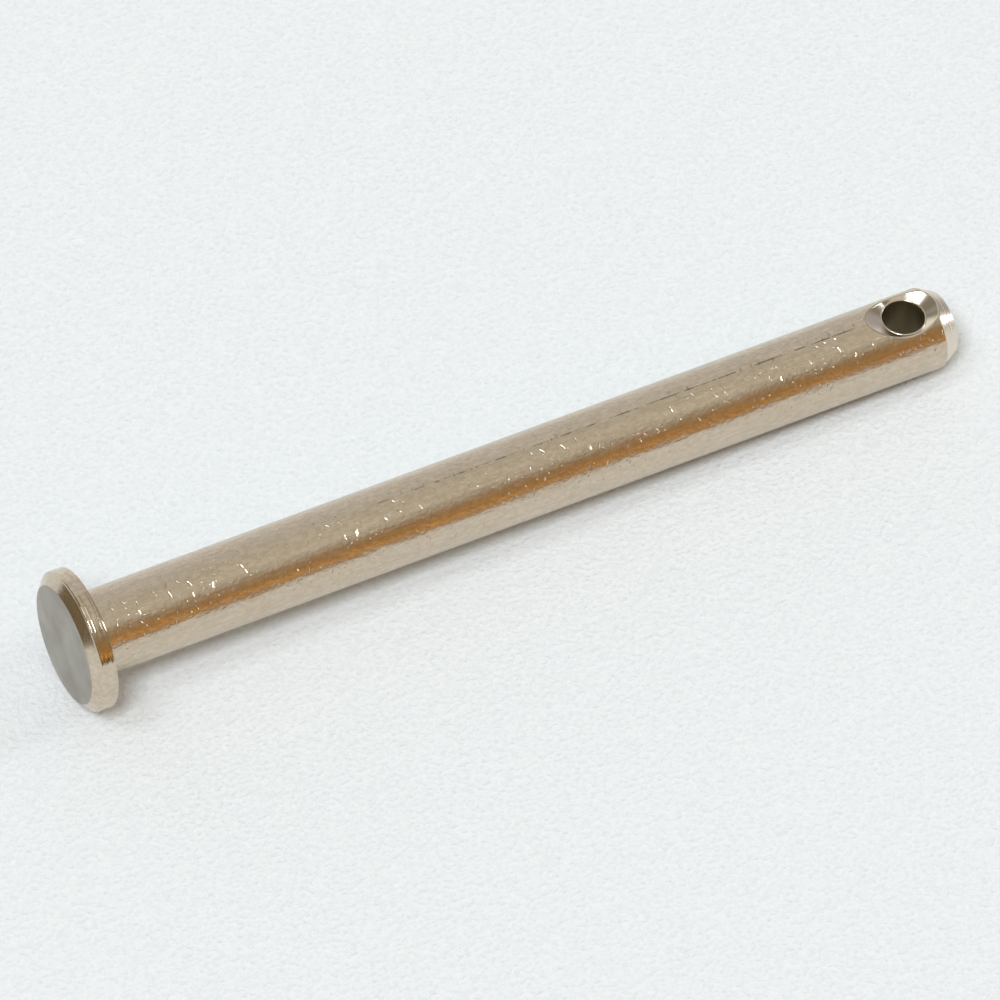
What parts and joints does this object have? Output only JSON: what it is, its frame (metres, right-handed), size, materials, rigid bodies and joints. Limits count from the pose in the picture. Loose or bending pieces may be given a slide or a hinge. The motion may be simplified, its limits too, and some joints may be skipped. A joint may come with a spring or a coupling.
{
  "type": "clevis pin",
  "caption": "Straight round pin with a chamfered flat head and a countersunk cross hole near its chamfered tip, to join a clevis to an eye and be held by a cotter.",
  "frame": {"origin": "middle of the head's flat face", "axes": "+Z along the shank from the head to the tip, +X along the cotter hole"},
  "size_m": [0.0082, 0.0082, 0.0546],
  "materials": {
    "plated_steel": "bright nickel plate over cold-drawn steel, with fine lengthwise draw lines and small handling nicks; the head's face is duller"
  },
  "bodies": {
    "root": {"clevis_pin": "plated_steel"}
  },
  "joints": []
}
